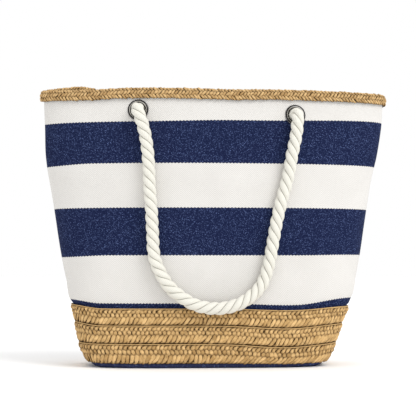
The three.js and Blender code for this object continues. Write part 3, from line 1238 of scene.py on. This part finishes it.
@dataclass
class Walls:
    """The two canvas panels, their linings and the pocket."""

    finishes: Finishes
    skin: Skin
    places: list[EyeletPlace]
    bottom: float = 0.0067
    top: float = 0.368
    map_girth: float = 1.02
    hole: float = 0.0113
    lining_offset: float = -0.0021

    def build(self) -> None:
        """Makes the five cloth pieces."""
        for side in Side:
            canvas = self._panel(f"{side.word}_canvas_twill", side, 0.0, 0.0018, 0.0036)
            settle(canvas, self.finishes.twill, [f"{side.word}_canvas_panel"])
            lining = self._panel(f"{side.word}_lining_cloth", side, self.lining_offset, 0.0008, 0.0055)
            settle(lining, self.finishes.lining, [f"{side.word}_lining_panel"])
        self._pocket()

    def _panel(self, name: str, side: Side, offset: float, thickness: float, cell: float) -> bpy.types.Object:
        """One wall of cloth with its eyelet holes.

        Args:
            name: the piece's name.
            side: the face of the bag.
            offset: its outer face's distance out from the skin.
            thickness: the cloth's thickness, which goes inwards.
            cell: the size of the grid's cells.

        Returns:
            The cloth, without a material yet.
        """
        first = 0.0 if side is Side.FRONT else 0.5
        columns = round(self.map_girth / 2 / cell)
        rows = round((self.top - self.bottom) / cell)

        def height_of(up: float) -> float:
            """The height at a share up."""
            return mix(self.bottom, self.top, up)

        def place(across: float, up: float) -> Vector:
            """The point at a share across and up, tucked in at the side seams."""
            seam = min(across, 1 - across) * self.map_girth / 2
            tuck = 0.0012 * (1 - smooth(seam, 0.0, 0.006))
            return self.skin.at(first + across / 2, height_of(up), offset - tuck)

        def chart(across: float, up: float) -> tuple[float, float]:
            """The place on the cloth's map."""
            return (first + across / 2) * self.map_girth, height_of(up)

        bm = cloth_grid(columns, rows, place, chart)
        self._open_holes(bm, side)
        thicken(bm, lambda at: Vector((at.x * 0.12, at.y + side.value * 0.001, 0)), thickness)
        return finish_mesh(name, bm)

    def _open_holes(self, bm: bmesh.types.BMesh, side: Side) -> None:
        """Cuts a round hole for each eyelet of one side.

        Args:
            bm: the sheet of cloth.
            side: the face of the bag it is on.
        """
        for eyelet in self.places:
            if eyelet.side is not side:
                continue

            def arm(vert: bmesh.types.BMVert, eyelet: EyeletPlace = eyelet) -> Vector:
                """The way from the eyelet's axis straight out to a point."""
                reach = vert.co - eyelet.centre
                return reach - eyelet.outwards * reach.dot(eyelet.outwards)

            near = [v for v in bm.verts if (v.co - eyelet.centre).length < 0.03]
            inner = [v for v in near if arm(v).length < 0.0092]
            bmesh.ops.delete(bm, geom=inner, context="VERTS")
            rim = [v for v in near if v.is_valid and v.is_boundary and arm(v).length < 0.0165]
            for vert in rim:
                flat = arm(vert)
                vert.co += flat.normalized() * (self.hole - flat.length)

    def _pocket(self) -> None:
        """The slip pocket on the back lining, with a folded hem along its mouth."""
        low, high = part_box("inside_pocket")
        half = (high.x - low.x) / 2
        share = half / self.skin.girth((low.z + high.z) / 2)
        offset = self.lining_offset - 0.0011

        def place(across: float, up: float) -> Vector:
            """The point at a share across and up, with the hem, the stitching and the slack."""
            height = mix(low.z, high.z, up)
            hem = 0.0007 * smooth(height, high.z - 0.016, high.z - 0.014)
            seam = 0.0006 * hump(height - high.z, -0.015, 0.0008)
            edge = min(across, 1 - across) * half * 2
            stitch = 0.0004 * hump(edge, 0.003, 0.0008)
            belly = 0.002 * math.sin(math.pi * across) * smooth(up, 0.3, 1.0)
            out = offset - hem - belly + seam + stitch
            return self.skin.at(0.75 + mix(-share, share, across), height, out)

        def chart(across: float, up: float) -> tuple[float, float]:
            """The place on the cloth's map, away from the lining's own."""
            return across * half * 2, mix(low.z, high.z, up) + 0.3

        bm = cloth_grid(64, 96, place, chart)
        thicken(bm, lambda at: Vector((0, -1, 0)), -0.0008)
        piece = finish_mesh("inside_pocket_cloth", bm)
        settle(piece, self.finishes.lining, ["inside_pocket"])


@dataclass
class Base:
    """The navy bottom with its turned-up edge, the board and the lining over it."""

    finishes: Finishes
    skin: Skin
    columns: int = 300
    tray: tuple[tuple[float, float], ...] = (
        (-0.030, 0.0),
        (-0.0080, 0.0),
        (-0.0028, 0.0001),
        (-0.0009, 0.0008),
        (0.0004, 0.0021),
        (0.0008, 0.0036),
        (0.0006, 0.0052),
        (-0.0002, 0.0061),
        (-0.0012, 0.0062),
        (-0.0018, 0.0054),
        (-0.0019, 0.0022),
        (-0.030, 0.0022),
    )

    def build(self) -> None:
        """Makes the bottom and its lining, and dresses the board."""
        tray = self._plate("base_canvas_bottom", self.tray)
        settle(tray, self.finishes.navy, ["base_canvas"])
        low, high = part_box("base_lining")
        middle = (low.z + high.z) / 2
        edge = [(-0.030, low.z), (-0.0034, low.z), (-0.0030, middle), (-0.0034, high.z), (-0.030, high.z)]
        cloth = self._plate("base_lining_cloth", edge)
        settle(cloth, self.finishes.lining, ["base_lining"])
        dress(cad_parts["base_board"], self.finishes.board)
        LOG.info("base_board: dressed")

    def _plate(self, name: str, profile: Sequence[tuple[float, float]]) -> bpy.types.Object:
        """An oval plate.

        Args:
            name: the piece's name.
            profile: its edge as offset and height pairs, from under it to the top.

        Returns:
            The plate, without a material yet.
        """
        bm = bmesh.new()
        layer = bm.loops.layers.uv.new("cloth")
        bmesh.ops.create_grid(bm, x_segments=self.columns, y_segments=len(profile) - 1, size=0.5)
        for vert in bm.verts:
            around = vert.co.x + 0.5
            offset, height = profile[round((vert.co.y + 0.5) * (len(profile) - 1))]
            vert.co = self.skin.at(around, height, offset)
        bmesh.ops.remove_doubles(bm, verts=[v for v in bm.verts if v.is_boundary], dist=WELD)
        bmesh.ops.holes_fill(bm, edges=[e for e in bm.edges if e.is_boundary], sides=0)
        for face in bm.faces:
            for loop in face.loops:
                loop[layer].uv = (loop.vert.co.x, loop.vert.co.y + loop.vert.co.z)
        return finish_mesh(name, bm)


# ---------------------------------------------------------------------------------------------
# Straw
# ---------------------------------------------------------------------------------------------

StripPlace = Callable[[float, float, float], Vector]


@dataclass
class Plait:
    """A flat plait of straw strands that runs all the way round the bag.

    Each strand zigzags between the plait's two edges. A rising strand meets a falling one at every row of
    crossings, and the pattern says at which of them it lies on top: o for over, u for under.

    laps is how many zigzags a strand makes on its way round, ease how it slows at the edges, and turning how
    sharply it turns back there (1 is a point). thickness, width and lift size a strand and its rise over the
    others, step and sides the cells, margin the bare edge, and slack a strand's length against the girth.
    stray and sway are how far a strand wanders, all round and along the bag.
    """

    strands: int
    laps: int
    pattern: str
    ease: float
    thickness: float
    lift: float
    step: float
    width: float
    rng: random.Random
    sides: int = 8
    margin: float = 0.05
    slack: float = 2.0
    stray: float = 0.0011
    sway: float = 0.0
    turning: float = 0.985
    map_girth: float = 0.01

    def weave(self, bm: bmesh.types.BMesh, strip: StripPlace, girth: float) -> None:
        """Adds every strand.

        Args:
            bm: a strand bmesh.
            strip: gives the point for a share round, a share across the plait and a lift off it.
            girth: the distance round the bag, in metres.
        """
        for index in range(self.strands):
            self._strand(bm, strip, girth, index)

    def _lift_at(self, phase: float) -> float:
        """How high a strand lies.

        Args:
            phase: how far through its zigzag it is, in turns.

        Returns:
            -1 at its lowest to 1 on top.
        """
        size = self.strands
        signs = [0.0] * (2 * size)
        for row, letter in enumerate(self.pattern, 1):
            signs[row] = 1.0 if letter == "o" else -1.0
            signs[2 * size - row] = -signs[row]
        place = (phase % 1.0) * 2 * size
        low = int(place)
        share = 0.5 - 0.5 * math.cos(math.pi * (place - low))
        return mix(signs[low % (2 * size)], signs[(low + 1) % (2 * size)], share)

    def _cross_at(self, phase: float) -> float:
        """How far across the plait a strand is.

        Args:
            phase: how far through its zigzag it is, in turns.

        Returns:
            0 at the plait's first edge to 1 at its other.
        """
        turn = math.acos(self.turning * math.cos(TURN * phase)) / math.pi
        edge = math.acos(self.turning) / math.pi
        share = (turn - edge) / (1 - 2 * edge)
        return mix(self.margin, 1 - self.margin, share + self.ease * math.sin(math.pi * share))

    def _strand(self, bm: bmesh.types.BMesh, strip: StripPlace, girth: float, index: int) -> None:
        """Adds one strand, closed on itself after its way round.

        Args:
            bm: a strand bmesh.
            strip: gives the point for a share round, a share across the plait and a lift off it.
            girth: the distance round the bag, in metres.
            index: the strand's number.
        """
        tone = self.rng.random()
        thick = self.thickness * self.rng.uniform(0.92, 1.08)
        start = index / self.strands
        wave = [(self.rng.randrange(40, 160), self.rng.uniform(0, 6.28)) for _ in range(3)]
        period = girth / self.laps
        steps = round(self.laps * self.slack * period / self.step)
        rings = []
        for ring in range(steps):
            around = ring / steps
            phase = around * self.laps + start
            lift = self._lift_at(phase)
            cross = self._cross_at(phase)
            rest = strip(around, cross, self.lift * lift)
            up = strip(around, cross, self.lift * lift + 0.002) - rest
            ahead = strip(around + 0.004 / self.laps, self._cross_at(phase + 0.004), self.lift * lift)
            forward = (ahead - rest).normalized()
            level = (strip(around + 0.004 / self.laps, cross, self.lift * lift) - rest).normalized()
            stray = noise.noise_vector(rest * 140 + Vector((index * 7.7, 0, 0)))
            sway = self.sway * (cross - 0.5) * noise.noise(rest * 45)
            centre = rest + stray * self.stray + level * sway
            outwards = up.normalized()
            across = forward.cross(outwards).normalized()
            lean = math.sqrt(max(0.0, 1 - forward.dot(level) ** 2))
            wide = self.width * period / self.strands * min(1.0, max(0.62, lean))
            wobble = sum(math.sin(TURN * count * around + shift) for count, shift in wave) / 3
            wide *= (1 + 0.07 * wobble + 0.22 * stray.x) * (0.82 + 0.18 * lift)
            shade = 0.5 + 0.35 * wobble + 0.5 * stray.y
            rings.append((centre, across * wide / 2, outwards * thick / 2, lift, shade))
        length = sum((two[0] - one[0]).length for one, two in zip(rings, rings[1:]))
        reach = self.lift + thick / 2

        def place(along: float, around: float) -> tuple[Vector, float, float]:
            """The point, its height in the plait and its shade."""
            centre, across, outwards, lift, shade = rings[round(along * steps) % steps]
            turn = TURN * around
            point = centre + across * math.cos(turn) + outwards * math.sin(turn)
            level = (self.lift * lift + thick / 2 * math.sin(turn) + reach) / (2 * reach)
            return point, level, shade

        tube(bm, steps, self.sides, place, (length, self.map_girth), tone, closed=True)


def straw_cord(
    bm: bmesh.types.BMesh,
    section: Sequence[tuple[float, float, float]],
    place_at: Callable[[float, float, float], Vector],
    steps: int,
    girth: float,
    tone: float,
) -> None:
    """Adds a closed band round the bag.

    Args:
        bm: a strand bmesh.
        section: its section as two coordinates for place_at and a height number, in order.
        place_at: gives the point for a share round and the two coordinates.
        steps: cells round the bag.
        girth: the band's length.
        tone: its shade, 0 to 1.
    """
    count = len(section)

    def place(along: float, around: float) -> tuple[Vector, float, float]:
        """The point, its height in the plait and its shade."""
        one, two, level = section[round(around * count) % count]
        return place_at(round(along * steps) % steps / steps, one, two), level, tone

    tube(bm, steps, count, place, (girth, 0.012), tone, closed=True)


def oval_section(
    middle: tuple[float, float], halves: tuple[float, float], sides: int, level: float
) -> list[tuple[float, float, float]]:
    """A small oval section for straw_cord.

    Args:
        middle: the point it lies round.
        halves: its half sizes.
        sides: how many points it has.
        level: its height number.

    Returns:
        Its points, each with the height number.
    """
    (one, two), (half_one, half_two) = middle, halves
    turns = (TURN * side / sides for side in range(sides))
    return [(one + half_one * math.cos(turn), two + half_two * math.sin(turn), level) for turn in turns]


@dataclass
class StrawFoot:
    """Three rows of plaited straw round the foot, each sewn over the bottom of the next one up."""

    finishes: Finishes
    skin: Skin
    rng: random.Random
    edges: tuple[float, ...] = (0.0068, 0.0325, 0.0570, 0.0796)
    names: tuple[str, ...] = ("lower", "middle", "upper")

    def build(self) -> None:
        """Makes the three rows."""
        for row, name in enumerate(self.names):
            self._row(row, name, self.edges[row], self.edges[row + 1])

    def _row(self, row: int, name: str, bottom: float, top: float) -> None:
        """One row: the plait, a dark band behind it that paints shade into the gaps between strands, and the
        smooth edge along its top.

        Args:
            row: its number, from the bottom.
            name: its name.
            bottom: the height of its lower edge.
            top: the height of its upper edge.
        """
        bm = strand_bmesh()
        girth = self.skin.girth((bottom + top) / 2)
        low, high = bottom + (0.0014 if row else -0.0004), top - 0.0010

        def strip(around: float, cross: float, lift: float) -> Vector:
            """The point for a share round, a share across the row and a lift off it."""
            return self.skin.at(around, mix(low, high, cross), mix(0.0026, 0.0038, cross) + lift)

        plait = Plait(
            strands=5,
            laps=round(girth / 0.0285),
            pattern="oouo",
            ease=0.0,
            thickness=0.0026,
            lift=0.0013,
            step=0.0022,
            width=1.08,
            rng=self.rng,
            sway=0.009,
            turning=0.72,
        )
        plait.weave(bm, strip, girth)

        def on_skin(around: float, offset: float, height: float) -> Vector:
            """The point for a share round, an offset and a height."""
            return self.skin.at(around, height, offset)

        # A dark band behind the strands: its height number 0 gives it the full painted shade, so the gaps
        # between strands read as shadow.
        foot = bottom - (0.0012 if row else 0.0004)
        gap_shade_band = [(0.0009, foot, 0.0), (0.0021, foot, 0.0), (0.0026, high, 0.0), (0.0009, high, 0.0)]
        straw_cord(bm, gap_shade_band, on_skin, 360, girth, 0.2)
        edge = oval_section((0.0038, top - 0.0003), (0.0009, 0.0008), 10, 0.85)
        straw_cord(bm, edge, on_skin, 480, girth, 0.5)
        piece = finish_mesh(f"straw_braid_{name}_plait", bm)
        settle(piece, self.finishes.foot_straw, [f"straw_braid_{name}"])


@dataclass
class StrawRim:
    """One wide strip of plaited straw folded over the bag's mouth."""

    finishes: Finishes
    skin: Skin
    rng: random.Random
    bottom: float = 0.3638
    spring: float = 0.3725
    rise: float = 0.0046
    outer: float = 0.0028
    inner: float = -0.0054

    def build(self) -> None:
        """Makes the rim."""
        bm = strand_bmesh()
        girth = self.skin.girth(self.bottom)
        plait = Plait(
            strands=13,
            laps=round(girth / 0.0620),
            pattern="uuoouuoouuoo",
            ease=0.0,
            thickness=0.0023,
            lift=0.0009,
            step=0.0028,
            width=1.04,
            rng=self.rng,
            margin=0.02,
            slack=1.75,
        )
        plait.weave(bm, self._strip, girth)
        # A dark band inside the fold: its height number 0 gives it the full painted shade, so the gaps between
        # strands read as shadow.
        gap_shade_core = []
        for share in (0.02, 0.15, 0.28, 0.38, 0.45, 0.5, 0.55, 0.62, 0.72, 0.85, 0.98):
            offset, height, _, _ = self._fold(share, -0.0012)
            gap_shade_core.append((offset, height, 0.0))
        for share in (0.98, 0.72, 0.5, 0.28, 0.02):
            offset, height, _, _ = self._fold(share, -0.0019)
            gap_shade_core.append((offset, height, 0.0))

        def on_skin(around: float, offset: float, height: float) -> Vector:
            """The point for a share round, an offset and a height."""
            return self.skin.at(around, height, offset)

        straw_cord(bm, gap_shade_core, on_skin, 360, girth, 0.2)
        piece = finish_mesh("rim_braid_plait", bm)
        settle(piece, self.finishes.rim_straw, ["rim_braid"])

    def _fold(self, cross: float, lift: float) -> tuple[float, float, float, float]:
        """The rim's section: up the outside, over and down the inside.

        Args:
            cross: share of the way across the strip, from its outer edge.
            lift: distance off the strip's middle.

        Returns:
            The offset and the height, and the direction off the strip as the same two.
        """
        leg = self.spring - self.bottom
        radius = (self.outer - self.inner) / 2
        arc = math.pi * (radius + self.rise) / 2
        place = cross * (2 * leg + arc)
        if place < leg:
            offset, height, one, two = self.outer, self.bottom + place, 1.0, 0.0
        elif place < leg + arc:
            turn = (place - leg) / arc * math.pi
            one, two = math.cos(turn), math.sin(turn)
            offset = (self.outer + self.inner) / 2 + radius * one
            height = self.spring + self.rise * two
        else:
            offset, height, one, two = self.inner, self.spring - (place - leg - arc), -1.0, 0.0
        return offset + one * lift, height + two * lift, one, two

    def _strip(self, around: float, cross: float, lift: float) -> Vector:
        """The point for a share round, a share across the strip and a lift off it."""
        offset, height, _, _ = self._fold(cross, lift)
        return self.skin.at(around, height, offset)


# ---------------------------------------------------------------------------------------------
# Metal
# ---------------------------------------------------------------------------------------------


Profile = Sequence[tuple[float, float, float]]


@dataclass
class Metalwork:
    """The eyelets with their washers, and the two halves of the magnetic snap."""

    finishes: Finishes
    places: list[EyeletPlace]
    # Each point: radius and height in millimetres, and the strength of the painted shade and dark reflection
    # there.
    ring: Profile = (
        (14.3, 0.25, 0.6), (14.4, 0.8, 0.5), (14.2, 1.5, 0.5), (13.9, 1.9, 0.6), (13.7, 2.1, 1.2),
        (12.9, 2.5, 1.2), (12.3, 2.6, 1.2), (12.1, 2.55, 0.5), (11.7, 2.4, 0.2), (11.2, 2.15, 0.2),
        (10.9, 1.95, 0.4), (10.7, 1.85, 1.2), (10.3, 1.7, 1.2), (10.1, 1.5, 0.4), (9.9, 1.3, 0.5),
        (9.68, 0.9, 1.2), (9.6, 0.0, 1.2), (9.6, -4.6, 0.9), (9.8, -5.6, 0.5), (10.4, -6.05, 0.2),
        (11.1, -6.0, 0.2), (11.4, -5.4, 0.6), (10.9, -5.0, 0.9), (10.5, -4.6, 0.9), (10.5, 0.25, 0.9),
    )
    washer: Profile = (
        (10.95, -3.55, 0.6), (13.7, -3.5, 0.6), (14.0, -3.8, 0.2), (14.0, -4.3, 0.2), (13.6, -4.65, 0.3),
        (11.5, -4.7, 0.3), (10.95, -4.4, 0.8),
    )

    def build(self) -> None:
        """Makes every metal piece."""
        for place in self.places:
            for kind, profile in (("eyelet", self.ring), ("eyelet_washer", self.washer)):
                shape = self._turned(profile, closed=True)
                place.stand(shape)
                piece = finish_mesh(f"{kind}_{place.name}_ring", shape)
                settle(piece, self.finishes.nickel, [f"{kind}_{place.name}"])
        self._snap("snap_socket", Side.FRONT, -1.4)
        self._snap("snap_stud", Side.BACK, 1.4)

    @staticmethod
    def _turned(profile: Profile, closed: bool, steps: int = 72) -> bmesh.types.BMesh:
        """Spins a profile about +Z.

        Args:
            profile: radius and height in millimetres, and how strong the painted shade and dark reflection are
                there, 0 and up.
            closed: whether its end joins its start.
            steps: faces round it.

        Returns:
            The turned shape.
        """
        bm = bmesh.new()
        shade_band_layer = bm.verts.layers.float.new("shade_band")
        verts = []
        for radius, height, shade_band in profile:
            vert = bm.verts.new((radius * MM, 0, height * MM))
            vert[shade_band_layer] = shade_band
            verts.append(vert)
        edges = [bm.edges.new(pair) for pair in zip(verts, verts[1:])]
        if closed:
            edges.append(bm.edges.new((verts[-1], verts[0])))
        bmesh.ops.spin(
            bm, geom=verts + edges, axis=(0, 0, 1), cent=(0, 0, 0), steps=steps, angle=TURN, use_merge=True
        )
        bmesh.ops.remove_doubles(bm, verts=bm.verts, dist=WELD)
        return bm

    def _snap(self, name: str, side: Side, pin: float) -> None:
        """One half of the snap: a rounded disc with a hollow or a stud in its middle.

        Args:
            name: the CAD node it replaces.
            side: the wall it is on.
            pin: millimetres that its middle stands out, less than 0 for a hollow.
        """
        low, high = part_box(name)
        middle = (low + high) / 2
        inwards = -float(side.value)
        thick = (high.y - low.y) / 2 / MM
        face = thick - max(pin, 0.0) * 0.85
        tip = face + pin
        # The third number of each point is the strength of the painted shade there.
        profile = [(0.0, tip, 0.3), (2.6, tip, 0.3), (3.0, face + pin * 0.8, 0.1), (3.1, face, 0.8)]
        profile += [(8.0, face, 0.2), (8.7, face - 0.4, 0.1), (9.0, face - 1.1, 0.3), (9.0, -thick, 0.5)]
        bm = self._turned([*profile, (0.0, -thick, 0.5)], closed=False, steps=48)
        facing = Vector((0, inwards, -0.1)).normalized()
        turn = Vector((0, 0, 1)).rotation_difference(facing).to_matrix().to_4x4()
        bmesh.ops.transform(bm, matrix=Matrix.Translation(middle) @ turn, verts=bm.verts)
        piece = finish_mesh(f"{name}_turned", bm)
        settle(piece, self.finishes.nickel, [name])


# ---------------------------------------------------------------------------------------------
# Studio
# ---------------------------------------------------------------------------------------------


@dataclass
class Studio:
    """The camera, the soft light and the pale floor."""

    distance: float = 1.8
    azimuth: float = math.radians(4.0)
    aim: float = math.radians(3.8)
    height: float = 0.138
    pitch: float = math.radians(2.54)
    focal: float = 111.3

    def camera(self) -> None:
        """Sets the camera low in front of the bag, a little to its left."""
        data = bpy.data.cameras.new("studio_camera")
        data.lens = self.focal
        data.sensor_width = 36.0
        data.clip_end = 60.0
        camera = bpy.data.objects.new("studio_camera", data)
        camera.location = (
            -self.distance * math.sin(self.azimuth),
            -self.distance * math.cos(self.azimuth),
            self.height,
        )
        camera.rotation_euler = (math.pi / 2 + self.pitch, 0.0, -self.aim)
        bpy.context.scene.collection.objects.link(camera)
        bpy.context.scene.camera = camera

    def light(self) -> None:
        """A white room, a broad key from the front right and the floor."""
        scene = bpy.context.scene
        scene.view_settings.view_transform = "Standard"
        world = bpy.data.worlds.new("white_room")
        world.use_nodes = True
        world.node_tree.nodes["Background"].inputs["Color"].default_value = (1.0, 1.0, 1.0, 1.0)
        world.node_tree.nodes["Background"].inputs["Strength"].default_value = 1.0
        scene.world = world
        key = bpy.data.lights.new("key_light", "SUN")
        key.energy = 1.3
        key.angle = math.radians(32)
        lamp = bpy.data.objects.new("key_light", key)
        lamp.rotation_euler = Vector((0.62, -0.66, 0.80)).to_track_quat("Z", "Y").to_euler()
        scene.collection.objects.link(lamp)
        bm = bmesh.new()
        bmesh.ops.create_grid(bm, x_segments=2, y_segments=2, size=12.0)
        floor = finish_mesh("studio_floor", bm, recalculate=False)
        floor.data.materials.append(Floor().build())


def main() -> None:
    """Builds the bag, piece by piece."""
    logging.basicConfig(level=logging.INFO, format="%(name)s: %(message)s")
    noise.seed_set(NOISE_SEED)
    studio = Studio()
    studio.camera()
    places = EyeletPlace.all_four()
    finishes = Finishes.mix_all()
    Handles(finishes, places).build()
    skin = Skin()
    Walls(finishes, skin, places).build()
    Base(finishes, skin).build()
    StrawFoot(finishes, skin, random.Random(7)).build()
    StrawRim(finishes, skin, random.Random(11)).build()
    Metalwork(finishes, places).build()
    studio.light()


if __name__ == "__main__":
    main()
